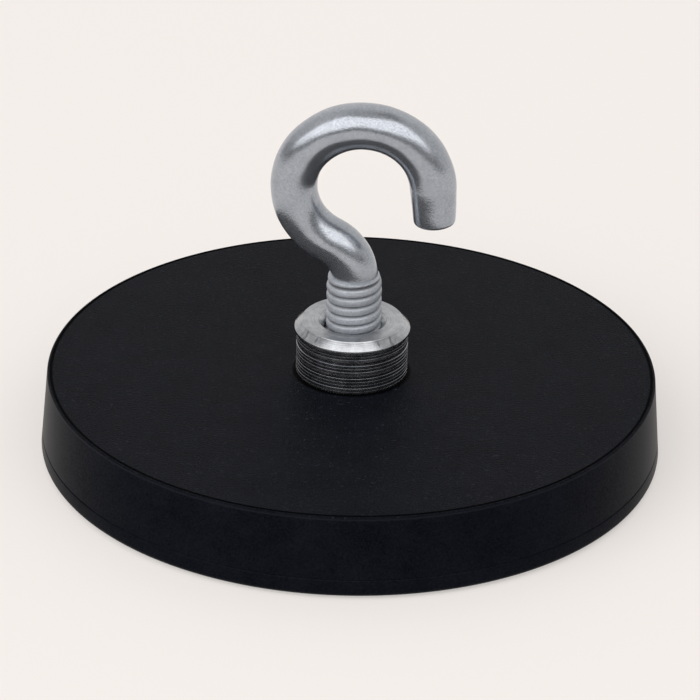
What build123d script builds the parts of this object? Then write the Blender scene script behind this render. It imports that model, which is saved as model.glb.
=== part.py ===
from build123d import *
import math
import os

# Hook magnet with a rubber-coated base. Millimetres, +Z up. The origin is the
# centre of the holding face, and the hook is bent in the XZ plane with its
# open side towards +X.

# ---- driving dimensions ------------------------------------------------------

# Rubber coating: the layers of the base add up to its height
BODY_DIAMETER = 43.0        # widest, just above the foot
SKIN_BELOW = 0.6            # rubber between the magnets and the holding face
SKIN_ABOVE = 0.9            # rubber over the steel plate
EDGE_SKIN = 2.2             # rubber outside the steel plate, at the widest ring
SIDE_DRAFT = 4.5            # degrees that the side leans in towards the top
TOP_EDGE_BREAK = 0.2        # small bevel round the top edge
FOOT_TUCK = 0.75            # how far the foot's bevel pulls in at the holding face
FOOT_HEIGHT = 0.6
PARTING_HEIGHT = 1.45       # mould line, above the holding face
PARTING_DEPTH = 0.12
PARTING_WIDTH = 0.24
SEAL_WIDTH = 0.4            # small ring where the rubber climbs the bush
SEAL_HEIGHT = 0.12

# Steel plate that carries the magnets and the bush
PLATE_THICKNESS = 2.0
RIVET_FLARE = 0.4           # countersink under the plate, filled by the spigot's end

# Magnet discs, in a ring under the plate
MAGNET_COUNT = 6
MAGNET_DIAMETER = 10.0
MAGNET_THICKNESS = 2.5
MAGNET_EDGE_GAP = 0.8       # from a magnet's outer edge to the plate's edge

# Turned bush
BUSH_DIAMETER = 7.72        # plain turned body
BUSH_STAND = 3.95           # height above the rubber
SPIGOT_DIAMETER = 6.0
RIM_PROUD = 0.14            # the top rim stands this far out from the body
RIM_LAND = 0.12             # straight part of the rim under its chamfer
RIM_CHAMFER = 0.47
RELIEF_BELOW_RIM = 0.7      # middle of the wide turned groove, below the rim's chamfer
RELIEF_HALF_WIDTH = 0.2
RELIEF_DEPTH = 0.14
BORE_DIAMETER = 4.0         # M4, major diameter of the internal thread
BORE_FLOOR = 0.1            # full bore stops this far below the top of the plate
BORE_MOUTH = 4.76           # countersink diameter at the top face
DRILL_POINT = 118.0         # degrees

# Hook: M4 shank, then wire bent in one plane
THREAD_DIAMETER = 3.84      # M4 with its tolerance, as measured over the crests
THREAD_LENGTH = 8.4
RUNOUT_LENGTH = 0.8         # slope from the thread down to the wire
RUNOUT_SINK = 0.3           # the slope ends this deep inside the wire
SHANK_CHAMFER = 0.5
SHANK_GAP = 0.2             # shank end above the end of the full bore
WIRE_DIAMETER = 3.22
TIP_DIAMETER = 2.86         # the cut end is drawn a little thinner
BEND_IN_THREAD = 0.35       # the first bend starts this far below the thread's top
NECK_RADIUS = 2.9
NECK_TURN = 62.0            # degrees, away from the open side
NECK_RUN = 0.4
EYE_SIDE_RADIUS = 4.5       # both sides of the eye, at the wire's centre
EYE_TOP_RADIUS = 4.97       # flatter top
EYE_BACK_TURN = 98.0
EYE_TOP_TURN = 74.0
EYE_FRONT_TURN = 66.5
TIP_LENGTH = 2.65
TIP_EDGE_CHAMFER = 0.15

# ---- worked-out places -------------------------------------------------------

magnet_bottom = SKIN_BELOW
plate_bottom = magnet_bottom + MAGNET_THICKNESS
plate_top = plate_bottom + PLATE_THICKNESS
body_top = plate_top + SKIN_ABOVE
body_radius = BODY_DIAMETER / 2
plate_radius = body_radius - EDGE_SKIN
bush_radius = BUSH_DIAMETER / 2
bush_top = body_top + BUSH_STAND
bore_bottom = plate_top - BORE_FLOOR
shank_bottom = bore_bottom + SHANK_GAP
thread_top = shank_bottom + THREAD_LENGTH


def revolved(section):
    """Turn a section, drawn with X as the radius, all the way round Z."""
    return revolve(section, Axis.Z)


def radial_section(points):
    """A face in the XZ plane from (radius, height) corners."""
    return make_face(Plane.XZ * Polyline(*points, close=True))


def save(shape, node):
    shape.label = node
    export_step(shape, f"parts/{node}.step")


# ---- magnets -----------------------------------------------------------------

def magnet_centres():
    """Centres of the magnets' lower faces, evenly round the plate."""
    circle = plate_radius - MAGNET_EDGE_GAP - MAGNET_DIAMETER / 2
    step = 360 / MAGNET_COUNT
    return [Location((circle * math.cos(math.radians(step * i)),
                      circle * math.sin(math.radians(step * i)),
                      magnet_bottom)) for i in range(MAGNET_COUNT)]


def magnet_disc():
    """One disc magnet, its lower face at z = 0."""
    return Cylinder(MAGNET_DIAMETER / 2, MAGNET_THICKNESS,
                    align=(Align.CENTER, Align.CENTER, Align.MIN))


# ---- bush --------------------------------------------------------------------

def bush_profile():
    """Outside of the bush from the top face down: rim, turned relief, spigot."""
    rim = bush_radius + RIM_PROUD
    rim_edge = bush_top - RIM_CHAMFER
    land_end = rim_edge - RIM_LAND
    relief = rim_edge - RELIEF_BELOW_RIM
    spigot = SPIGOT_DIAMETER / 2
    return [(0, bush_top), (rim - RIM_CHAMFER, bush_top), (rim, rim_edge),
            (rim, land_end), (bush_radius, land_end - RIM_PROUD),
            (bush_radius, relief + RELIEF_HALF_WIDTH),
            (bush_radius - RELIEF_DEPTH, relief),
            (bush_radius, relief - RELIEF_HALF_WIDTH),
            (bush_radius, plate_top), (spigot, plate_top),
            (spigot, plate_bottom + RIVET_FLARE),
            (spigot + RIVET_FLARE, plate_bottom), (0, plate_bottom)]


def bore_profile():
    """Blind bore with a drill point, and a countersunk mouth."""
    bore = BORE_DIAMETER / 2
    mouth = BORE_MOUTH / 2
    point = bore / math.tan(math.radians(DRILL_POINT / 2))
    return [(0, bore_bottom - point), (bore, bore_bottom),
            (bore, bush_top - (mouth - bore)), (mouth, bush_top), (0, bush_top)]


def bush_blank():
    return revolved(radial_section(bush_profile()))


def threaded_bush():
    return bush_blank() - revolved(radial_section(bore_profile()))


# ---- steel plate -------------------------------------------------------------

def steel_plate():
    """Pressed disc, with a hole countersunk below for the riveted spigot."""
    hole = SPIGOT_DIAMETER / 2
    section = [(hole, plate_top), (plate_radius, plate_top), (plate_radius, plate_bottom),
               (hole + RIVET_FLARE, plate_bottom), (hole, plate_bottom + RIVET_FLARE)]
    return revolved(radial_section(section))


# ---- rubber coating ----------------------------------------------------------

def side_radius(z):
    """Radius of the drafted side at height z."""
    return body_radius - (z - FOOT_HEIGHT) * math.tan(math.radians(SIDE_DRAFT))


def coating_blank():
    """The moulding before its inserts: bevelled foot, mould line, drafted side."""
    half = PARTING_WIDTH / 2
    cut = TOP_EDGE_BREAK
    top_radius = side_radius(body_top)
    return revolved(radial_section([
        (0, 0),
        (body_radius - FOOT_TUCK, 0),
        (body_radius, FOOT_HEIGHT),
        (side_radius(PARTING_HEIGHT - half), PARTING_HEIGHT - half),
        (side_radius(PARTING_HEIGHT) - PARTING_DEPTH, PARTING_HEIGHT),
        (side_radius(PARTING_HEIGHT + half), PARTING_HEIGHT + half),
        (top_radius, body_top - cut),
        (top_radius - cut, body_top),
        (bush_radius + SEAL_WIDTH, body_top),
        (bush_radius, body_top + SEAL_HEIGHT),
        (0, body_top + SEAL_HEIGHT)]))


def rubber_coating():
    """The moulding with the exact hollows that its inserts fill."""
    moulding = coating_blank() - steel_plate() - bush_blank()
    for centre in magnet_centres():
        moulding -= centre * magnet_disc()
    return moulding


# ---- hook --------------------------------------------------------------------

def hook_path():
    """Centre line of the bent wire, from inside the thread to the tip's start."""
    start = (0, thread_top - BEND_IN_THREAD)
    neck = JernArc(start, (0, 1), NECK_RADIUS, NECK_TURN)
    run = PolarLine(neck @ 1, NECK_RUN, direction=neck % 1)
    back = JernArc(run @ 1, run % 1, EYE_SIDE_RADIUS, -EYE_BACK_TURN)
    top = JernArc(back @ 1, back % 1, EYE_TOP_RADIUS, -EYE_TOP_TURN)
    front = JernArc(top @ 1, top % 1, EYE_SIDE_RADIUS, -EYE_FRONT_TURN)
    return Plane.XZ * (neck + run + back + top + front)


def shank():
    """Threaded length, plain at its major diameter, and the run-out above it."""
    thread = THREAD_DIAMETER / 2
    section = [(0, shank_bottom), (thread - SHANK_CHAMFER, shank_bottom),
               (thread, shank_bottom + SHANK_CHAMFER), (thread, thread_top),
               (WIRE_DIAMETER / 2 - RUNOUT_SINK, thread_top + RUNOUT_LENGTH),
               (0, thread_top + RUNOUT_LENGTH)]
    return revolved(radial_section(section))


def tip():
    """Last straight length, thinning to a cut end with its edge taken off."""
    cone = Cone(WIRE_DIAMETER / 2, TIP_DIAMETER / 2, TIP_LENGTH,
                align=(Align.CENTER, Align.CENTER, Align.MIN))
    end_edge = cone.edges().filter_by(GeomType.CIRCLE).sort_by(Axis.Z)[-1]
    return chamfer(end_edge, TIP_EDGE_CHAMFER)


def hook():
    path = Wire(hook_path().edges())
    wire = sweep(Plane(path @ 0, z_dir=path % 0) * Circle(WIRE_DIAMETER / 2), path)
    return shank() + wire + Plane(path @ 1, z_dir=path % 1) * tip()


# ---- files -------------------------------------------------------------------

os.makedirs("parts", exist_ok=True)
save(rubber_coating(), "rubber_coating")
save(steel_plate(), "steel_plate")
save(threaded_bush(), "threaded_bush")
save(hook(), "hook")
for number, centre in enumerate(magnet_centres(), start=1):
    save(centre * magnet_disc(), f"magnet_{number}")
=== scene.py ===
from math import atan2, ceil, cos, degrees, pi, radians, sin, tan

import bmesh
import bpy
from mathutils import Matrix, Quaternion, Vector, noise


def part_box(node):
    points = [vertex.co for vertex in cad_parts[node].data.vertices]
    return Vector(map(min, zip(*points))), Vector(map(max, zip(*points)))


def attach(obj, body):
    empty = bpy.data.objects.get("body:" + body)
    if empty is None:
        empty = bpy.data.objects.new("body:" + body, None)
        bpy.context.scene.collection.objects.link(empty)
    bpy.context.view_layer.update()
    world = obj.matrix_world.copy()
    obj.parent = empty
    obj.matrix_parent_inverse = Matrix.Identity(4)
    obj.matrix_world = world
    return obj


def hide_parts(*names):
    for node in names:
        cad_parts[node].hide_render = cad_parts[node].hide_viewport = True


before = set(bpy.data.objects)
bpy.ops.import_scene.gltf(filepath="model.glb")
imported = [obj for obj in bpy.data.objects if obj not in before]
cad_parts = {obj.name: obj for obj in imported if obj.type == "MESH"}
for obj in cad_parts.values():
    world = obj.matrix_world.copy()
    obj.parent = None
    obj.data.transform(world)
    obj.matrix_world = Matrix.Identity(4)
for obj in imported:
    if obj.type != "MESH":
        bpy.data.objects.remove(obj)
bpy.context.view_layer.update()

scene = bpy.context.scene
scene.view_settings.view_transform = "Standard"

# %% [markdown]
# # A rubber-coated pot magnet with a screw-in hook
#
# Six magnet discs sit under a steel plate, and black rubber is moulded round
# both. A turned steel bush stands up through the rubber, and the hook's thread
# goes into it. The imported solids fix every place, so this script reads their
# boxes and adds what a lathe, a thread roller and a mould leave on the surfaces.

# %% Sizes, in millimetres
MM = 0.001


def node_box(node):
    """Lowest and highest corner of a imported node, in millimetres."""
    low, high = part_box(node)
    return low / MM, high / MM


coating_high = node_box("rubber_coating")[1]
plate_low, plate_high = node_box("steel_plate")
magnet_low, magnet_high = node_box("magnet_1")
bush_high = node_box("threaded_bush")[1]
hook_low, hook_high = node_box("hook")

BODY_RADIUS = coating_high.x
SEAL_TOP = coating_high.z
SEAL_HEIGHT = 0.12
BODY_TOP = SEAL_TOP - SEAL_HEIGHT
SIDE_DRAFT = radians(4.5)
FOOT_HEIGHT = 0.6
PLATE_RADIUS = plate_high.x
PLATE_TOP = plate_high.z
PLATE_BOTTOM = plate_low.z
MAGNET_COUNT = 6
BUSH_TOP = bush_high.z
BUSH_RADIUS = 3.86
RIM_RADIUS = bush_high.x
SHANK_BOTTOM = hook_low.z
print(f"body {2 * BODY_RADIUS:.1f} wide, {BODY_TOP:.1f} thick; bush up to {BUSH_TOP:.2f}; "
      f"hook from {SHANK_BOTTOM:.2f} to {hook_high.z:.2f}")

# %% [markdown]
# ## Camera
# A long lens looks down at about 28 degrees and stands about 6 degrees round
# from the hook's own plane, so that the open end comes a little forward. The
# frame is square, so the lens and the sensor alone decide what it takes in.

# %% Camera
TURN = radians(5.9)
ELEVATION = radians(28.44)
DISTANCE = 0.36206
ROLL = 0.0210
AIM = Vector((-0.000131, 0, 0.007538))
LENS = 266.35

around = Quaternion((0, 0, 1), TURN)
camera_data = bpy.data.cameras.new("camera")
camera = bpy.data.objects.new("camera", camera_data)
scene.collection.objects.link(camera)
scene.camera = camera
camera_data.lens = LENS
camera_data.sensor_width = 36.0
camera_data.sensor_fit = "HORIZONTAL"
camera_data.clip_start = 0.01
camera_data.clip_end = 20.0
camera.location = around @ Vector((0, -DISTANCE * cos(ELEVATION), DISTANCE * sin(ELEVATION)))
facing = (around @ AIM - camera.location).to_track_quat("-Z", "Y")
camera.rotation_mode = "QUATERNION"
camera.rotation_quaternion = facing @ Quaternion((0, 0, 1), ROLL)
print(f"camera {DISTANCE / MM:.0f} mm away, {degrees(ELEVATION):.1f} degrees up")

# %% [markdown]
# ## Outlines for the lathe
# Most of this object is round: the mould, the bush and the thread were all made
# on something that turns. So a shape is drawn once, as half of its section, and
# spun round Z. Real edges are never sharp, and a small arc in each corner is
# what catches the light.


# %% Outline and skin helpers
def corner_arc(before, here, after, radius, steps):
    """Points of an arc that meets both sides of a corner."""
    to_before = (before - here).normalized()
    to_after = (after - here).normalized()
    half = to_before.angle(to_after) / 2
    centre = here + (to_before + to_after).normalized() * (radius / sin(half))
    start = here + to_before * (radius / tan(half)) - centre
    end = here + to_after * (radius / tan(half)) - centre
    first = atan2(start.y, start.x)
    turn = (atan2(end.y, end.x) - first + pi) % (2 * pi) - pi
    return [centre + radius * Vector((cos(first + turn * k / steps), sin(first + turn * k / steps)))
            for k in range(steps + 1)]


def rounded(corners, steps=5):
    """An outline of (radius, height, rounding) corners with the roundings drawn."""
    points = []
    places = [Vector(corner[:2]) for corner in corners]
    for i, (x, z, rounding) in enumerate(corners):
        if rounding == 0:
            points.append(places[i])
        else:
            points += corner_arc(places[i - 1], places[i], places[i + 1], rounding, steps)
    return points


def skin(name, rings):
    """A closed mesh over rings of points in millimetres; a pole is a ring of one."""
    build = bmesh.new()
    loops = [[build.verts.new(Vector(point) * MM) for point in ring] for ring in rings]
    for lower, upper in zip(loops, loops[1:]):
        count = max(len(lower), len(upper))
        for k in range(count):
            a, b = lower[k % len(lower)], lower[(k + 1) % len(lower)]
            c, d = upper[(k + 1) % len(upper)], upper[k % len(upper)]
            corners = list(dict.fromkeys((a, b, c, d)))
            if len(corners) > 2:
                build.faces.new(corners)
    bmesh.ops.recalc_face_normals(build, faces=build.faces)
    mesh = bpy.data.meshes.new(name)
    build.to_mesh(mesh)
    build.free()
    piece = bpy.data.objects.new(name, mesh)
    scene.collection.objects.link(piece)
    return piece


def spin(name, outline, steps):
    """Turn an outline, which starts and ends on the axis, all the way round Z."""
    rings = []
    for radius, height in outline:
        if radius < 1e-6:
            rings.append([(0, 0, height)])
        else:
            rings.append([(radius * cos(2 * pi * k / steps), radius * sin(2 * pi * k / steps),
                           height) for k in range(steps)])
    return skin(name, rings)


def apply_modifiers(piece):
    """Turn what the modifiers make into the piece's own mesh."""
    graph = bpy.context.evaluated_depsgraph_get()
    mesh = bpy.data.meshes.new_from_object(piece.evaluated_get(graph))
    piece.modifiers.clear()
    piece.data = mesh


def combine(piece, other, operation):
    """Add another closed mesh to a piece, or cut it away."""
    change = piece.modifiers.new("combine", "BOOLEAN")
    change.solver = "EXACT"
    change.operation = operation
    change.object = other
    apply_modifiers(piece)
    bpy.data.objects.remove(other)
    print(f"{piece.name}: {len(piece.data.polygons)} faces")


def finish_piece(piece, material, sharp):
    """One material, and smooth shading that still breaks at real edges."""
    piece.data.materials.clear()
    piece.data.materials.append(material)
    piece.data.shade_smooth()
    piece.data.set_sharp_from_angle(angle=radians(sharp))


# %% [markdown]
# ## Black rubber
# Moulded rubber is nearly black and hardly shines. What shows is a fine grain
# and a few light specks on the top, where the mould was left rough, while the
# side left a smoother wall. So one material fades its grain with the height on
# the piece. Painted shade darkens the ring by the bush and the line near the
# top's edge, and a painted highlight lightens the rounded edge of the top.


# %% Node helpers
def blank_material(name):
    """A material with one shader; returns the material, its tree and the shader."""
    material = bpy.data.materials.new(name)
    material.use_nodes = True
    tree = material.node_tree
    tree.nodes.clear()
    shader = tree.nodes.new("ShaderNodeBsdfPrincipled")
    output = tree.nodes.new("ShaderNodeOutputMaterial")
    tree.links.new(shader.outputs["BSDF"], output.inputs["Surface"])
    return material, tree, shader


def add_node(tree, kind, inputs=None, **settings):
    """Add a node; inputs are values, or sockets to link."""
    node = tree.nodes.new(kind)
    for key, value in settings.items():
        setattr(node, key, value)
    for key, value in (inputs or {}).items():
        if isinstance(value, bpy.types.NodeSocket):
            tree.links.new(value, node.inputs[key])
        else:
            node.inputs[key].default_value = value
    return node


def number(tree, operation, a, b=0.0):
    """Result of one Math node."""
    return add_node(tree, "ShaderNodeMath", {0: a, 1: b}, operation=operation).outputs[0]


def times(tree, product, *factors):
    """Product of two or more values."""
    for factor in factors:
        product = number(tree, "MULTIPLY", product, factor)
    return product


def plus(tree, a, b):
    return number(tree, "ADD", a, b)


def minus(tree, a, b):
    return number(tree, "SUBTRACT", a, b)


def larger(tree, a, b):
    return number(tree, "MAXIMUM", a, b)


def shares(tree, share, first, second):
    """A share of the first value and the rest of the second."""
    return plus(tree, times(tree, first, share), times(tree, second, 1.0 - share))


def grain(tree, vector, scale, detail=3.0, roughness=0.6):
    """Noise from 0 to 1 at so many cells per metre."""
    node = add_node(tree, "ShaderNodeTexNoise", {"Vector": vector, "Scale": scale,
                                                "Detail": detail, "Roughness": roughness})
    return node.outputs[0]


def between(tree, value, low, high, first=0.0, last=1.0):
    """Map a value from one range to another, held at both ends."""
    node = add_node(tree, "ShaderNodeMapRange", {"Value": value, "From Min": low, "From Max": high,
                                                "To Min": first, "To Max": last})
    return node.outputs["Result"]


def between_mm(tree, length, low, high, first=0.0, last=1.0):
    """The same for a length on the piece, with its range in millimetres."""
    return between(tree, length, low * MM, high * MM, first, last)


def ramp(tree, value, stops):
    """Colours along a value, as (place, colour) stops."""
    node = add_node(tree, "ShaderNodeValToRGB", {"Fac": value})
    elements = node.color_ramp.elements
    while len(elements) < len(stops):
        elements.new(0.5)
    for element, (place, colour) in zip(elements, stops):
        element.position = place
        element.color = (*colour, 1.0)
    return node.outputs["Color"]


def mixed_colour(tree, amount, first, second):
    """The first colour, a socket, at 0 and the second, three numbers, at 1."""
    node = add_node(tree, "ShaderNodeMix", {0: amount, 6: first, 7: (*second, 1.0)},
                    data_type="RGBA")
    return node.outputs[2]


def object_point(tree):
    return add_node(tree, "ShaderNodeTexCoord").outputs["Object"]


def object_parts(tree):
    """X, Y and Z of the point on the piece, in metres."""
    return add_node(tree, "ShaderNodeSeparateXYZ", {0: object_point(tree)}).outputs


def from_axis(tree, beside=0.0):
    """Distance from an upright axis that stands a little beside the origin, along X."""
    parts = object_parts(tree)
    x = minus(tree, parts["X"], beside)
    squares = plus(tree, times(tree, x, x), times(tree, parts["Y"], parts["Y"]))
    return number(tree, "SQRT", squares)


def wire_up(tree, shader, sockets):
    """Link a shader's inputs by name."""
    for name, socket in sockets.items():
        tree.links.new(socket, shader.inputs[name])


def bump(tree, height, distance):
    """A bumped normal from a height between 0 and 1."""
    return add_node(tree, "ShaderNodeBump", {"Height": height, "Distance": distance,
                                            "Strength": 1.0}).outputs["Normal"]


# %% Rubber finish
TOP_LINE_IN = 0.26          # fine line on the top, in from its edge
RUBBER_DARK = (0.0006, 0.0011, 0.0026)
RUBBER_LIGHT = (0.0056, 0.0068, 0.0104)
RUBBER_SPECK_AND_HIGHLIGHT = (0.014, 0.016, 0.021)
RUBBER_PAINTED_SHADE = (0.0004, 0.0005, 0.0007)
RUBBER_SHINE = (0.78, 0.83, 1.0, 1.0)


def side_radius(height):
    """Radius of the side, which leans in towards the top."""
    return BODY_RADIUS - (height - FOOT_HEIGHT) * tan(SIDE_DRAFT)


TOP_LINE_RADIUS = side_radius(BODY_TOP) - TOP_LINE_IN


def rubber_finish():
    material, tree, shader = blank_material("moulded_rubber")
    point = object_point(tree)
    height = object_parts(tree)["Z"]
    reach = from_axis(tree)
    on_top = between_mm(tree, height, BODY_TOP - 0.12, BODY_TOP - 0.08)

    clouds = grain(tree, point, 320.0, 4.0, 0.7)
    fine = grain(tree, point, 7000.0, 3.0, 0.7)
    tone = shares(tree, 0.4, clouds, fine)
    colour = ramp(tree, tone, [(0.3, RUBBER_DARK), (0.7, RUBBER_LIGHT)])

    specks = between(tree, grain(tree, point, 3800.0, 1.0), 0.66, 0.72)
    # Painted highlight: a lighter band round the rounded top edge. It shares its colour with the
    # real light specks on the top.
    edge_low = between_mm(tree, height, BODY_TOP - 0.26, BODY_TOP - 0.16, 0.0, 0.45)
    edge_high = between_mm(tree, height, BODY_TOP - 0.12, BODY_TOP - 0.04, 1.0, 0.0)
    specks_and_edge_highlight = larger(tree, times(tree, specks, on_top), times(tree, edge_low, edge_high))
    colour = mixed_colour(tree, specks_and_edge_highlight, colour, RUBBER_SPECK_AND_HIGHLIGHT)

    # Painted shade: darker rubber, with less shine, in a ring by the bush and in the line near the
    # top's edge.
    by_bush = between_mm(tree, reach, BUSH_RADIUS + 0.16, BUSH_RADIUS + 0.34, 1.0, 0.0)
    off_line = number(tree, "ABSOLUTE", minus(tree, reach, TOP_LINE_RADIUS * MM))
    in_line = between_mm(tree, off_line, 0.09, 0.15, 0.8, 0.0)
    painted_shade = larger(tree, by_bush, times(tree, in_line, on_top))
    colour = mixed_colour(tree, painted_shade, colour, RUBBER_PAINTED_SHADE)

    dull = plus(tree, between(tree, fine, 0.3, 0.7, 0.28, 0.40), times(tree, on_top, 0.18))
    shine = times(tree, between(tree, on_top, 0.0, 1.0, 0.027, 0.043),
                  between(tree, fine, 0.3, 0.7, 0.5, 1.5),
                  minus(tree, 1.0, times(tree, painted_shade, 0.7)))
    shader.inputs["Specular Tint"].default_value = RUBBER_SHINE
    wire_up(tree, shader, {"Base Color": colour, "Roughness": dull, "Specular IOR Level": shine,
                           "Normal": bump(tree, times(tree, fine, on_top), 0.00009)})
    return material


rubber_material = rubber_finish()
print(f"{rubber_material.name}: {len(rubber_material.node_tree.nodes)} nodes")

# %% [markdown]
# ## The moulding
# The rubber wraps the plate and the magnets, so its inside has their exact
# shape. The outside leans in towards the top so that it leaves the mould, and
# the foot is rounded. One fine line runs round the side where the mould's halves
# met, and another runs round the top just inside its edge. The whole section is
# drawn once and spun, and the magnets' six pockets are cut afterwards.

# %% The moulding
FOOT_TUCK = 1.05
PARTING_HEIGHT = 1.45
PARTING_DEPTH = 0.05
PARTING_HALF = 0.07
TOP_EDGE_RADIUS = 0.16
TOP_LINE_DEPTH = 0.08
TOP_LINE_HALF = 0.09
SEAL_WIDTH = 0.4
BODY_STEPS = 288
POCKET_STEPS = 64
POCKET_OVERLAP = 0.5        # a cutter reaches this far past the pocket's mouth


def foot_curve(steps=10):
    """Quarter of an ellipse from the holding face out to the widest ring."""
    return [(BODY_RADIUS - FOOT_TUCK * (1 - sin(pi / 2 * k / steps)),
             FOOT_HEIGHT * (1 - cos(pi / 2 * k / steps)), 0) for k in range(steps + 1)]


def coating_outline():
    """Holding face, foot, side, top, then back along the plate's hollow."""
    return rounded(
        [(0, 0, 0)] + foot_curve() +
        [(side_radius(PARTING_HEIGHT - PARTING_HALF), PARTING_HEIGHT - PARTING_HALF, 0.02),
         (side_radius(PARTING_HEIGHT) - PARTING_DEPTH, PARTING_HEIGHT, 0.01),
         (side_radius(PARTING_HEIGHT + PARTING_HALF), PARTING_HEIGHT + PARTING_HALF, 0.02),
         (side_radius(BODY_TOP), BODY_TOP, TOP_EDGE_RADIUS),
         (TOP_LINE_RADIUS + TOP_LINE_HALF, BODY_TOP, 0.02),
         (TOP_LINE_RADIUS, BODY_TOP - TOP_LINE_DEPTH, 0.01),
         (TOP_LINE_RADIUS - TOP_LINE_HALF, BODY_TOP, 0.02),
         (BUSH_RADIUS + SEAL_WIDTH, BODY_TOP, 0.12),
         (BUSH_RADIUS, SEAL_TOP, 0),
         (BUSH_RADIUS, PLATE_TOP, 0), (PLATE_RADIUS, PLATE_TOP, 0),
         (PLATE_RADIUS, PLATE_BOTTOM, 0), (0, PLATE_BOTTOM, 0)])


def make_moulding():
    piece = spin("rubber_moulding", coating_outline(), BODY_STEPS)
    radius = (magnet_high.x - magnet_low.x) / 2
    ring = magnet_high.x - radius
    mouth = PLATE_BOTTOM + POCKET_OVERLAP
    for k in range(MAGNET_COUNT):
        angle = 2 * pi * k / MAGNET_COUNT
        pocket = spin("pocket", [(0, magnet_low.z), (radius, magnet_low.z), (radius, mouth),
                                 (0, mouth)], POCKET_STEPS)
        for vertex in pocket.data.vertices:
            vertex.co += Vector((ring * cos(angle), ring * sin(angle), 0)) * MM
        combine(piece, pocket, "DIFFERENCE")
    finish_piece(piece, rubber_material, 35.0)
    return piece


moulding = make_moulding()
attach(moulding, "root")
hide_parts("rubber_coating")

# %% [markdown]
# ## A thread, by Geometry Nodes
# A thread follows a rule: the same groove, climbing one pitch for each turn. A
# grid is wrapped round the axis and sheared, so that its rows follow the helix
# and each groove has clean edges. The depth fades where the roller ran out, and
# both ends taper. One tree makes the hook's thread and, a little larger, the tap
# that cuts the bush, so the two always fit each other.

# %% Thread tree
PITCH = 0.7
THREAD_RADIUS = 1.91
THREAD_DEPTH = 0.21
THREAD_TOP = SHANK_BOTTOM + 8.4
HELIX_START = -0.40
SIDE_PLAY = 0.07            # the hook's thread rests against one side of the bush
ROOT_FLAT = 0.05            # groove's flat root, its straight sides and its eased lips,
SIDES_END = 0.42            # as shares of half a pitch
LIPS_END = 0.9
STRAIGHT_SHARE = 0.8
ROWS_PER_PITCH = 20
THREAD_STEPS = 72


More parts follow.
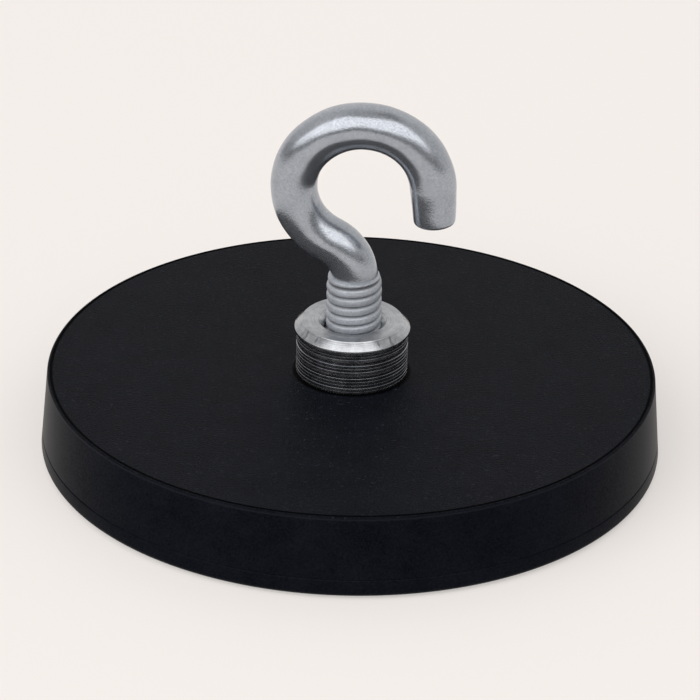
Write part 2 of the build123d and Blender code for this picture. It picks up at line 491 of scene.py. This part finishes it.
def thread_tree():
    """Node tree of a closed threaded rod; sizes are its named inputs, in metres."""
    tree = bpy.data.node_groups.new("threaded rod", "GeometryNodeTree")
    tree.is_modifier = True
    for name in ("Pitch", "Crest radius", "Groove depth", "Bottom", "Top", "Fade start", "Fade end",
                 "Bottom radius", "Bottom slope", "Top radius", "Top slope", "Taper radius",
                 "Taper slope", "Helix start"):
        tree.interface.new_socket(name, in_out="INPUT", socket_type="NodeSocketFloat")
    tree.interface.new_socket("Finish", in_out="INPUT", socket_type="NodeSocketMaterial")
    tree.interface.new_socket("Geometry", in_out="OUTPUT", socket_type="NodeSocketGeometry")
    given = tree.nodes.new("NodeGroupInput").outputs

    def calc(operation, a, b=0.0):
        return number(tree, operation, a, b)

    # The grid: X is the share of a turn and Y counts the rows, with a pole at each end
    turns = calc("DIVIDE", calc("SUBTRACT", given["Top"], given["Bottom"]), given["Pitch"])
    rows = calc("ADD", calc("MULTIPLY", calc("ADD", calc("CEIL", turns), 2.0),
                            ROWS_PER_PITCH), 2.0)
    grid = add_node(tree, "GeometryNodeMeshGrid", {
        "Size X": 1.0, "Size Y": rows, "Vertices X": THREAD_STEPS + 1,
        "Vertices Y": calc("ADD", rows, 1.0)})
    place = add_node(tree, "GeometryNodeInputPosition").outputs[0]
    flat = add_node(tree, "ShaderNodeSeparateXYZ", {0: place}).outputs
    turn = calc("ADD", flat["X"], 0.5)
    row = calc("ADD", flat["Y"], calc("MULTIPLY", rows, 0.5))

    # Height: each row climbs one pitch for each turn, and is held between the ends
    climb = calc("ADD", calc("DIVIDE", calc("SUBTRACT", row, 1.0), ROWS_PER_PITCH), turn)
    pitches = calc("MULTIPLY", given["Pitch"], calc("SUBTRACT", climb, 1.0))
    free = calc("ADD", given["Bottom"], pitches)
    height = calc("MINIMUM", calc("MAXIMUM", free, given["Bottom"]), given["Top"])

    # Groove: how far this height is from the groove's middle at this angle
    climbed = calc("DIVIDE", calc("SUBTRACT", height, given["Helix start"]), given["Pitch"])
    phase = calc("FRACT", calc("SUBTRACT", climbed, turn))
    from_root = calc("ABSOLUTE", calc("SUBTRACT", calc("MULTIPLY", phase, 2.0), 1.0))
    straight = between(tree, from_root, ROOT_FLAT, SIDES_END, 1.0, 0.0)
    eased = add_node(tree, "ShaderNodeMapRange", {
        "Value": from_root, "From Min": 0.0, "From Max": LIPS_END, "To Min": 1.0, "To Max": 0.0},
        interpolation_type="SMOOTHSTEP").outputs["Result"]
    groove = shares(tree, STRAIGHT_SHARE, straight, eased)
    fade = between(tree, height, given["Fade start"], given["Fade end"], 1.0, 0.0)
    cut = calc("MULTIPLY", calc("MULTIPLY", groove, fade), given["Groove depth"])

    # Radius: the crest less the groove, held by the tapers at both ends
    from_bottom = calc("MULTIPLY", calc("SUBTRACT", height, given["Bottom"]), given["Bottom slope"])
    to_top = calc("SUBTRACT", given["Top"], height)
    from_top = calc("MULTIPLY", to_top, given["Top slope"])
    taper = calc("ADD", given["Taper radius"], calc("MULTIPLY", to_top, given["Taper slope"]))
    crest = calc("MINIMUM", given["Crest radius"], taper)
    radius = calc("SUBTRACT", crest, cut)
    radius = calc("MINIMUM", radius, calc("ADD", given["Bottom radius"], from_bottom))
    radius = calc("MINIMUM", radius, calc("ADD", given["Top radius"], from_top))
    inside = calc("MULTIPLY", calc("GREATER_THAN", row, 0.5),
                  calc("LESS_THAN", row, calc("SUBTRACT", rows, 0.5)))
    radius = calc("MULTIPLY", radius, inside)

    # Wrap the grid round Z, and weld its seam and poles
    angle = calc("MULTIPLY", turn, 2 * pi)
    wrapped = add_node(tree, "ShaderNodeCombineXYZ", {
        "X": calc("MULTIPLY", radius, calc("COSINE", angle)),
        "Y": calc("MULTIPLY", radius, calc("SINE", angle)), "Z": height}).outputs[0]
    moved = add_node(tree, "GeometryNodeSetPosition",
                     {"Geometry": grid.outputs["Mesh"], "Position": wrapped})
    closed = add_node(tree, "GeometryNodeMergeByDistance",
                      {"Geometry": moved.outputs[0], "Distance": 1e-7})
    real = add_node(tree, "GeometryNodeRealizeInstances", {"Geometry": closed.outputs[0]})
    dressed = add_node(tree, "GeometryNodeSetMaterial",
                       {"Geometry": real.outputs[0], "Material": given["Finish"]})
    output = tree.nodes.new("NodeGroupOutput")
    tree.links.new(dressed.outputs[0], output.inputs["Geometry"])
    return tree


thread_nodes = thread_tree()
print(f"{thread_nodes.name}: {len(thread_nodes.nodes)} nodes")


# %% Threaded rod
def set_inputs(modifier, values):
    """Give a Geometry Nodes modifier its inputs by name, through their identifiers."""
    for item in modifier.node_group.interface.items_tree:
        if item.in_out == "INPUT" and item.name in values:
            modifier[item.identifier] = values[item.name]


def threaded_rod(name, finish, **sizes):
    """A closed rod with a thread on it; sizes in millimetres."""
    mesh = bpy.data.meshes.new(name)
    piece = bpy.data.objects.new(name, mesh)
    scene.collection.objects.link(piece)
    modifier = piece.modifiers.new("thread", "NODES")
    modifier.node_group = thread_nodes
    slopes = {"Bottom slope", "Top slope", "Taper slope"}
    values = {key.replace("_", " ").capitalize(): value for key, value in sizes.items()}
    values = {key: value * (1.0 if key in slopes else MM) for key, value in values.items()}
    values["Finish"] = finish
    set_inputs(modifier, values)
    apply_modifiers(piece)
    build = bmesh.new()
    build.from_mesh(piece.data)
    bmesh.ops.dissolve_degenerate(build, dist=1e-8, edges=build.edges)
    bmesh.ops.recalc_face_normals(build, faces=build.faces)
    open_edges = sum(1 for edge in build.edges if not edge.is_manifold)
    build.to_mesh(piece.data)
    build.free()
    print(f"{name}: {len(piece.data.polygons)} faces, {open_edges} open edges")
    return piece


# %% [markdown]
# ## Turned steel
# A lathe tool leaves rings on a face and lines round a side. Both come from one
# noise that is read by distance from the axis and by height, and hardly at all
# by angle, so the scratches run round the part as the tool did. They draw out
# reflections across the lines, and a second noise leaves a few marks on the
# chamfer. Painted shade, in the marks' dark colour, darkens the whole side.


# %% Turned steel finish
STEEL_DARK = (0.29, 0.31, 0.335)
STEEL_LIGHT = (0.53, 0.555, 0.585)
STEEL_STAIN_AND_SHADE = (0.08, 0.085, 0.095)
LINES_PER_METRE = 14000.0
MARKS_PER_METRE = 900.0


def lathe_point(tree, across, along):
    """A point that changes fast by radius and height, and slowly round the axis."""
    parts = object_parts(tree)
    angle = number(tree, "ARCTAN2", parts["Y"], parts["X"])
    return add_node(tree, "ShaderNodeCombineXYZ", {
        "X": times(tree, from_axis(tree), across),
        "Y": times(tree, number(tree, "SINE", angle), along),
        "Z": times(tree, parts["Z"], across)}).outputs[0]


def turned_finish():
    material, tree, shader = blank_material("turned_steel")
    height = object_parts(tree)["Z"]
    on_face = between_mm(tree, height, BUSH_TOP - 0.04, BUSH_TOP - 0.01)
    on_side = between_mm(tree, height, BUSH_TOP - 0.60, BUSH_TOP - 0.54, 1.0, 0.0)
    on_chamfer = minus(tree, 1.0, plus(tree, on_face, on_side))

    lines = grain(tree, lathe_point(tree, LINES_PER_METRE, 0.8), 1.0, 4.0, 0.7)
    patches = grain(tree, object_point(tree), 1500.0, 4.0, 0.65)
    tone = shares(tree, 0.5, lines, patches)
    colour = ramp(tree, tone, [(0.36, STEEL_DARK), (0.64, STEEL_LIGHT)])
    marks = grain(tree, lathe_point(tree, MARKS_PER_METRE, 9.0), 1.0, 2.0)
    marked = times(tree, between(tree, marks, 0.34, 0.42, 0.6, 0.08), on_chamfer)
    # Painted shade: the whole side is mixed about a third of the way to the dark colour. On the
    # chamfer the same colour makes real marks.
    colour = mixed_colour(tree, larger(tree, marked, times(tree, on_side, 0.32)), colour,
                          STEEL_STAIN_AND_SHADE)

    dull = plus(tree, between(tree, tone, 0.34, 0.66, 0.13, 0.23),
                plus(tree, times(tree, on_face, 0.20), times(tree, on_side, 0.05)))
    drawn_out = plus(tree, times(tree, on_face, 0.8), times(tree, on_side, 0.75))
    round_axis = add_node(tree, "ShaderNodeTangent", direction_type="RADIAL", axis="Z").outputs[0]
    lined = times(tree, lines, minus(tree, 1.0, times(tree, on_chamfer, 0.6)))
    shader.inputs["Metallic"].default_value = 1.0
    shader.inputs["Anisotropic Rotation"].default_value = 0.25
    wire_up(tree, shader, {"Base Color": colour, "Roughness": dull, "Tangent": round_axis,
                           "Anisotropic": drawn_out, "Normal": bump(tree, lined, 0.000016)})
    return material


turned_material = turned_finish()
print(f"{turned_material.name}: {len(turned_material.node_tree.nodes)} nodes")

# %% [markdown]
# ## The bush
# From the top: a countersunk mouth, a face, a bright chamfer, a rim and then
# fine tool lines down to the rubber, with one small lip among them. Under the
# plate its spigot is riveted over. The hole is drilled, and the tap from the
# thread tree cuts it.

# %% The bush
RIM_CHAMFER = 0.52
RIM_LAND = 0.2
RIM_UNDERCUT = 0.08
LIP_BELOW_RIM = 1.2
LIP_DEPTH = 0.04
LIP_SLOPE = 0.26
LIP_EDGE = 0.015
UPPER_LINES = ((0.50, 0.8), (0.72, 1.2))    # below the rim, and the share of LINE_DEPTH
LINE_COUNT = 9
LINE_START = 1.42
LINE_PITCH = 0.25
LINE_DEPTH = 0.013
LINE_ABOVE = 3 * LINE_DEPTH     # a line's upper slope is long and its lower one short
LINE_BELOW = 0.6                # for each unit of the line's depth
LINE_UNEVEN = 0.6               # how much deeper or finer than LINE_DEPTH a line may be
LINE_BEAT = 2.4                 # step of the sine that makes neighbours differ
SPIGOT_RADIUS = 3.0
RIVET_FLARE = 0.4
TAP_RADIUS = 2.0
TAP_DEPTH = 0.21
TAP_NOSE = 0.2              # the tap's nose is this much smaller
TAP_STOP = 0.15             # and stops this far above the bore's bottom
TAP_ABOVE = 0.6             # while its other end stands out of the bush
DRILL_RADIUS = 1.83
DRILL_POINT = 0.6           # depth of the drill's point for each unit of its radius
MOUTH_RADIUS = 2.38
BORE_BOTTOM = PLATE_TOP - 0.1
BUSH_STEPS = 144


def tool_line(middle, share):
    """Corners of one fine groove in the bush's side."""
    depth = LINE_DEPTH * share
    return [(BUSH_RADIUS, middle + LINE_ABOVE, 0), (BUSH_RADIUS - depth, middle, 0),
            (BUSH_RADIUS, middle - LINE_BELOW * depth, 0)]


def bush_outline():
    """Drilled hole, mouth, face, rim, lined side, then the riveted spigot."""
    rim_edge = BUSH_TOP - RIM_CHAMFER
    land_end = rim_edge - RIM_LAND
    lip = rim_edge - LIP_BELOW_RIM
    corners = [(0, BORE_BOTTOM - DRILL_RADIUS * DRILL_POINT, 0), (DRILL_RADIUS, BORE_BOTTOM, 0),
               (DRILL_RADIUS, BUSH_TOP - (MOUTH_RADIUS - DRILL_RADIUS), 0.02),
               (MOUTH_RADIUS, BUSH_TOP, 0.04),
               (RIM_RADIUS - RIM_CHAMFER, BUSH_TOP, 0.05), (RIM_RADIUS, rim_edge, 0.05),
               (RIM_RADIUS, land_end, 0.04), (BUSH_RADIUS, land_end - RIM_UNDERCUT, 0.02)]
    for down, share in UPPER_LINES:
        corners += tool_line(rim_edge - down, share)
    corners += [(BUSH_RADIUS, lip + LIP_SLOPE, 0.03),
                (BUSH_RADIUS - LIP_DEPTH, lip + LIP_EDGE, 0), (BUSH_RADIUS, lip, 0)]
    for k in range(LINE_COUNT):
        corners += tool_line(rim_edge - LINE_START - k * LINE_PITCH,
                             1 + LINE_UNEVEN * sin(LINE_BEAT * k))
    corners += [(BUSH_RADIUS, PLATE_TOP, 0), (SPIGOT_RADIUS, PLATE_TOP, 0),
                (SPIGOT_RADIUS, PLATE_BOTTOM + RIVET_FLARE, 0),
                (SPIGOT_RADIUS + RIVET_FLARE, PLATE_BOTTOM, 0), (0, PLATE_BOTTOM, 0)]
    return rounded(corners, 4)


def make_bush():
    piece = spin("turned_bush", bush_outline(), BUSH_STEPS)
    clear = TAP_RADIUS + 1      # the tap is straight to its top: no taper and no fade
    beyond = BUSH_TOP + 5
    tap = threaded_rod("tap", turned_material, pitch=PITCH, crest_radius=TAP_RADIUS,
                       groove_depth=TAP_DEPTH, helix_start=HELIX_START,
                       bottom=BORE_BOTTOM + TAP_STOP, top=BUSH_TOP + TAP_ABOVE,
                       fade_start=beyond, fade_end=beyond + 1,
                       bottom_radius=TAP_RADIUS - TAP_NOSE, bottom_slope=1.0,
                       top_radius=clear, top_slope=0.0, taper_radius=clear, taper_slope=0.0)
    combine(piece, tap, "DIFFERENCE")
    finish_piece(piece, turned_material, 30.0)
    return piece


bush = make_bush()
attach(bush, "root")
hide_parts("threaded_bush")

# %% [markdown]
# ## Zinc-plated wire
# Zinc on drawn wire is a soft grey metal. It isn't polished: the plating is
# slightly mottled and satin, so highlights are broad and a little grainy. The
# rolled thread is duller, and painted shade darkens its grooves.


# %% Wire finish
ZINC_DARK = (0.275, 0.302, 0.34)
ZINC_LIGHT = (0.43, 0.463, 0.51)
GROOVE_PAINTED_SHADE = (0.07, 0.072, 0.075)


def wire_finish():
    material, tree, shader = blank_material("zinc_plated_wire")
    point = object_point(tree)
    height = object_parts(tree)["Z"]
    on_thread = between_mm(tree, height, THREAD_TOP - 0.3, THREAD_TOP + 0.1, 1.0, 0.0)

    fine = grain(tree, point, 8000.0, 3.0, 0.7)
    tone = shares(tree, 0.3, grain(tree, point, 700.0), fine)
    colour = ramp(tree, tone, [(0.34, ZINC_DARK), (0.66, ZINC_LIGHT)])
    # Painted shade in the thread's grooves, below the thread's top.
    deep = between_mm(tree, from_axis(tree, SIDE_PLAY * MM), THREAD_RADIUS - THREAD_DEPTH,
                      THREAD_RADIUS - 0.11, 1.0, 0.0)
    below_top = between_mm(tree, height, THREAD_TOP - 0.38, THREAD_TOP - 0.34, 1.0, 0.0)
    colour = mixed_colour(tree, times(tree, deep, below_top, 0.8), colour, GROOVE_PAINTED_SHADE)

    metallic = minus(tree, 0.82, times(tree, on_thread, 0.42))
    dull = plus(tree, between(tree, tone, 0.3, 0.7, 0.10, 0.18), times(tree, on_thread, 0.30))
    rough = times(tree, fine, between(tree, on_thread, 0.0, 1.0, 0.45, 1.0))
    wire_up(tree, shader, {"Base Color": colour, "Metallic": metallic, "Roughness": dull,
                           "Normal": bump(tree, rough, 0.000019)})
    return material


wire_material = wire_finish()
print(f"{wire_material.name}: {len(wire_material.node_tree.nodes)} nodes")

# %% [markdown]
# ## The hook
# The hook is one wire: a rolled thread, a bend away from it, and an eye left
# open at one side. The wire is swept as rings along its centre line, square to
# it through every bend, and the threaded rod is joined to it as one solid. The
# whole hook then moves a little to one side, since a screw's load takes up the
# play in its thread.

# %% The hook
RUNOUT = -0.1               # end of the threaded rod, above the thread's top
RUNOUT_RADIUS = 1.55
RUNOUT_SLOPE = 2.0
FADE_BELOW = 0.3            # the groove fades out over this length and the next
FADE_ABOVE = 0.1
TAPER_RADIUS = 1.79
TAPER_SLOPE = 0.14
SHANK_CHAMFER = 0.5
WIRE_RADIUS = 1.61
TIP_RADIUS = 1.43
TIP_LENGTH = 2.65
TIP_EDGE = 0.2
TIP_STEPS = 6
BEND_START = THREAD_TOP - 0.35
BENDS = ((2.9, 62.0), (0.0, 0.4), (4.5, -98.0), (4.97, -74.0), (4.5, -66.5))
BEND_STEP = 2.0             # degrees between rings
WIRE_STEPS = 56
UNEVEN = 0.032              # most that the wire strays from round
UNEVEN_SCALE = 0.55         # lumps per millimetre


def centre_line():
    """Places and headings along the wire; a bend is (radius, degrees) or (0, length)."""
    place = Vector((0, BEND_START))
    heading = pi / 2
    stations = [(place.copy(), heading)]
    for radius, amount in BENDS:
        if radius == 0.0:
            place = place + Vector((cos(heading), sin(heading))) * amount
            stations.append((place.copy(), heading))
            continue
        steps = ceil(abs(amount) / BEND_STEP)
        step = radians(amount) / steps
        chord = 2 * radius * sin(abs(step) / 2)
        for _ in range(steps):
            middle = heading + step / 2
            place = place + Vector((cos(middle), sin(middle))) * chord
            heading += step
            stations.append((place.copy(), heading))
    return stations


def wire_ring(place, heading, radius):
    """A circle square to the wire, a little uneven as bending leaves it."""
    side = Vector((-sin(heading), 0, cos(heading)))
    centre = Vector((place.x, 0, place.y))
    ring = []
    for k in range(WIRE_STEPS):
        angle = 2 * pi * k / WIRE_STEPS
        outward = cos(angle) * side + sin(angle) * Vector((0, 1, 0))
        uneven = UNEVEN * noise.noise((centre + radius * outward) * UNEVEN_SCALE)
        ring.append(centre + (radius + uneven) * outward)
    return ring


def tip_profile():
    """Reach and radius of the rings of the drawn tip and its rounded end."""
    thinning = [(TIP_LENGTH * k / TIP_STEPS,
                 WIRE_RADIUS + (TIP_RADIUS - WIRE_RADIUS) * k / TIP_STEPS)
                for k in range(1, TIP_STEPS)]
    rounding = [(TIP_LENGTH - TIP_EDGE + TIP_EDGE * sin(pi / 2 * k / TIP_STEPS),
                 TIP_RADIUS - TIP_EDGE + TIP_EDGE * cos(pi / 2 * k / TIP_STEPS))
                for k in range(TIP_STEPS + 1)]
    return thinning + rounding


def make_wire():
    """The bent wire, from inside the thread to its cut end, as a closed skin."""
    stations = centre_line()
    start = stations[0][0]
    rings = [[Vector((start.x, 0, start.y))]]
    rings += [wire_ring(place, heading, WIRE_RADIUS) for place, heading in stations]
    end, heading = stations[-1]
    forward = Vector((cos(heading), sin(heading)))
    rings += [wire_ring(end + forward * reach, heading, radius) for reach, radius in tip_profile()]
    last = end + forward * TIP_LENGTH
    rings.append([Vector((last.x, 0, last.y))])
    return skin("wire", rings)


def make_hook():
    piece = make_wire()
    piece.name = "wire_hook"
    rod = threaded_rod("shank", wire_material, pitch=PITCH, crest_radius=THREAD_RADIUS,
                       helix_start=HELIX_START, groove_depth=THREAD_DEPTH,
                       bottom=SHANK_BOTTOM, top=THREAD_TOP + RUNOUT,
                       fade_start=THREAD_TOP - FADE_BELOW, fade_end=THREAD_TOP + FADE_ABOVE,
                       bottom_radius=THREAD_RADIUS - SHANK_CHAMFER, bottom_slope=1.0,
                       top_radius=RUNOUT_RADIUS, top_slope=RUNOUT_SLOPE,
                       taper_radius=TAPER_RADIUS, taper_slope=TAPER_SLOPE)
    combine(piece, rod, "UNION")
    for vertex in piece.data.vertices:
        vertex.co.x += SIDE_PLAY * MM
    finish_piece(piece, wire_material, 40.0)
    return piece


hook = make_hook()
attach(hook, "root")
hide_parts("hook")

# %% [markdown]
# ## The parts inside
# The plate and the magnets stay as they were packed, because their shapes are
# plain. They get finishes of their own: rolled steel, and nickel plating.


# %% Finishes inside
def plate_finish():
    material, tree, shader = blank_material("rolled_steel")
    stretched = add_node(tree, "ShaderNodeMapping", {"Vector": object_point(tree),
                                                    "Scale": (400.0, 9000.0, 9000.0)}).outputs[0]
    streaks = grain(tree, stretched, 1.0, 4.0)
    colour = ramp(tree, streaks, [(0.3, (0.28, 0.28, 0.29)), (0.7, (0.46, 0.45, 0.45))])
    shader.inputs["Metallic"].default_value = 1.0
    wire_up(tree, shader, {"Base Color": colour,
                           "Roughness": between(tree, streaks, 0.3, 0.7, 0.32, 0.5),
                           "Normal": bump(tree, streaks, 0.00001)})
    return material


def nickel_finish():
    material, tree, shader = blank_material("nickel_plate")
    clouds = grain(tree, object_point(tree), 1600.0, 4.0)
    colour = ramp(tree, clouds, [(0.3, (0.56, 0.54, 0.51)), (0.7, (0.68, 0.65, 0.61))])
    shader.inputs["Metallic"].default_value = 1.0
    wire_up(tree, shader, {"Base Color": colour,
                           "Roughness": between(tree, clouds, 0.3, 0.7, 0.14, 0.24),
                           "Normal": bump(tree, clouds, 0.000004)})
    return material


def dress(node, material):
    """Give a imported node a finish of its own."""
    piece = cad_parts[node]
    for slot in piece.material_slots:
        slot.material = material


nickel_material = nickel_finish()
dress("steel_plate", plate_finish())
for magnet in range(1, MAGNET_COUNT + 1):
    dress(f"magnet_{magnet}", nickel_material)
print(f"plate and {MAGNET_COUNT} magnets dressed")

# %% [markdown]
# ## Floor and light
# A pale floor takes the soft shadow. One soft box to the left and above lights
# the matt surfaces, and metal doesn't show it. What the metal shows is the room:
# plain grey, with a wide window in front and above, and a few darker places. The
# room is fixed to the scene, so metal shows it from every side. The camera sees
# the plain pale backdrop, and so do reflections that look past the object.

# %% Floor
PALE = (0.888, 0.855, 0.831)
FLOOR_HALF = 1.5
FLOOR_HEIGHT = -0.00002
PAPER_SHADES = (0.895, 0.905)       # of the pale colour
PLAIN_SHARE = 0.5                   # of the floor that is seen without its shading


def seen_directly(tree):
    """1 for rays from the camera, from a reflection or through glass, and 0 for light."""
    path = add_node(tree, "ShaderNodeLightPath").outputs
    mirrored = larger(tree, path["Is Glossy Ray"], path["Is Transmission Ray"])
    return larger(tree, path["Is Camera Ray"], mirrored)


def paper_finish():
    """Matt paper, with part of it shown plain so that the shadow stays soft."""
    material, tree, shader = blank_material("pale_paper")
    fibres = grain(tree, object_point(tree), 1200.0)
    colour = ramp(tree, fibres, [(place, tuple(shade * part for part in PALE))
                                 for place, shade in zip((0.0, 1.0), PAPER_SHADES)])
    shader.inputs["Roughness"].default_value = 1.0
    shader.inputs["Specular IOR Level"].default_value = 0.0
    wire_up(tree, shader, {"Base Color": colour})
    plain = add_node(tree, "ShaderNodeEmission", {"Color": (*PALE, 1.0), "Strength": 1.0})
    mixed = add_node(tree, "ShaderNodeMixShader", {
        0: times(tree, seen_directly(tree), PLAIN_SHARE), 1: shader.outputs[0],
        2: plain.outputs[0]})
    output = next(node for node in tree.nodes if node.type == "OUTPUT_MATERIAL")
    tree.links.new(mixed.outputs[0], output.inputs["Surface"])
    return material


def make_floor():
    corners = ((-1, -1), (1, -1), (1, 1), (-1, 1))
    mesh = bpy.data.meshes.new("floor")
    mesh.from_pydata([(FLOOR_HALF * x, FLOOR_HALF * y, FLOOR_HEIGHT) for x, y in corners],
                     [], [(0, 1, 2, 3)])
    floor = bpy.data.objects.new("floor", mesh)
    scene.collection.objects.link(floor)
    floor.data.materials.append(paper_finish())
    return floor


floor = make_floor()
print(f"floor {2 * FLOOR_HALF:.0f} m wide")


# %% Room and soft box
WARM = (1.0, 0.965, 0.94)
WINDOW_LEVEL = 1.45
ROOM_LEVEL = 0.70
CEILING_LEVEL = 0.50


def fade_in(tree, value, low, high):
    """0 below the first value, 1 above the second, and an eased step between."""
    return add_node(tree, "ShaderNodeMapRange", {"Value": value, "From Min": low, "From Max": high},
                    interpolation_type="SMOOTHSTEP").outputs["Result"]


def room_level(tree, up, side, back):
    """Brightness of the walls by elevation and bearing, with three darker places."""
    level = between(tree, up, 60.0, 78.0, ROOM_LEVEL, CEILING_LEVEL)
    low_in_front = times(tree, fade_in(tree, back, -0.1, 0.45),
                         minus(tree, 1.0, fade_in(tree, up, 6.0, 26.0)))
    high_on_right = times(tree, fade_in(tree, up, 52.0, 64.0), fade_in(tree, side, 68.0, 88.0),
                          fade_in(tree, side, 165.0, 140.0))
    level_on_left = times(tree, fade_in(tree, number(tree, "ABSOLUTE", up), 22.0, 6.0),
                          fade_in(tree, side, -135.0, -105.0), fade_in(tree, side, -40.0, -65.0))
    for place, share in ((low_in_front, 0.36), (high_on_right, 0.5), (level_on_left, 0.45)):
        level = times(tree, level, between(tree, place, 0.0, 1.0, 1.0, share))
    return level


def in_window(tree, up, side):
    """1 inside the window; its lower edge and its left edge both slant."""
    lower_edge = between(tree, side, -30.0, 20.0, 8.0, 18.0)
    left_edge = between(tree, up, 20.0, 60.0, -84.0, -64.0)
    return times(tree, fade_in(tree, minus(tree, up, lower_edge), 0.0, 9.0),
                 minus(tree, 1.0, fade_in(tree, up, 62.0, 70.0)),
                 fade_in(tree, minus(tree, side, left_edge), 0.0, 14.0),
                 fade_in(tree, side, 78.0, 58.0))


def make_room():
    """The lit room, and the pale backdrop where the camera or a reflection looks past."""
    world = bpy.data.worlds.new("room")
    scene.world = world
    world.use_nodes = True
    tree = world.node_tree
    tree.nodes.clear()
    toward = add_node(tree, "ShaderNodeTexCoord").outputs["Generated"]
    parts = add_node(tree, "ShaderNodeSeparateXYZ", {0: toward}).outputs
    up = times(tree, number(tree, "ARCSINE", parts["Z"]), degrees(1))
    back = times(tree, parts["Y"], -1.0)
    side = times(tree, number(tree, "ARCTAN2", parts["X"], back), degrees(1))

    level = plus(tree, room_level(tree, up, side, back),
                 times(tree, in_window(tree, up, side), WINDOW_LEVEL))
    tint = [times(tree, level, part) for part in WARM]
    lit_colour = add_node(tree, "ShaderNodeCombineXYZ", dict(zip("XYZ", tint))).outputs[0]
    lit = add_node(tree, "ShaderNodeBackground", {"Color": lit_colour, "Strength": 1.0})
    pale = add_node(tree, "ShaderNodeBackground", {"Color": (*PALE, 1.0), "Strength": 1.0})

    is_camera = add_node(tree, "ShaderNodeLightPath").outputs["Is Camera Ray"]
    behind = larger(tree, is_camera, fade_in(tree, back, -0.35, -0.75))
    chosen = add_node(tree, "ShaderNodeMixShader", {
        0: times(tree, seen_directly(tree), behind), 1: lit.outputs[0], 2: pale.outputs[0]})
    output = tree.nodes.new("ShaderNodeOutputWorld")
    tree.links.new(chosen.outputs[0], output.inputs["Surface"])


def soft_box(azimuth, elevation, distance, width, height, radiance):
    """A rectangular lamp that faces the object; radiance is what a mirror would show."""
    data = bpy.data.lights.new("soft_box", "AREA")
    data.shape = "RECTANGLE"
    data.size = width
    data.size_y = height
    data.energy = radiance * pi * width * height
    data.color = WARM
    lamp = bpy.data.objects.new("soft_box", data)
    scene.collection.objects.link(lamp)
    lamp.visible_camera = False
    lamp.visible_glossy = False
    away = around @ Vector((sin(azimuth) * cos(elevation), -cos(azimuth) * cos(elevation),
                            sin(elevation)))
    lamp.location = away * distance
    lamp.rotation_mode = "QUATERNION"
    lamp.rotation_quaternion = (-away).to_track_quat("-Z", "Y")


make_room()
soft_box(azimuth=radians(-38), elevation=radians(38), distance=0.6, width=0.62, height=0.4,
         radiance=1.4)
print("room and soft box set")
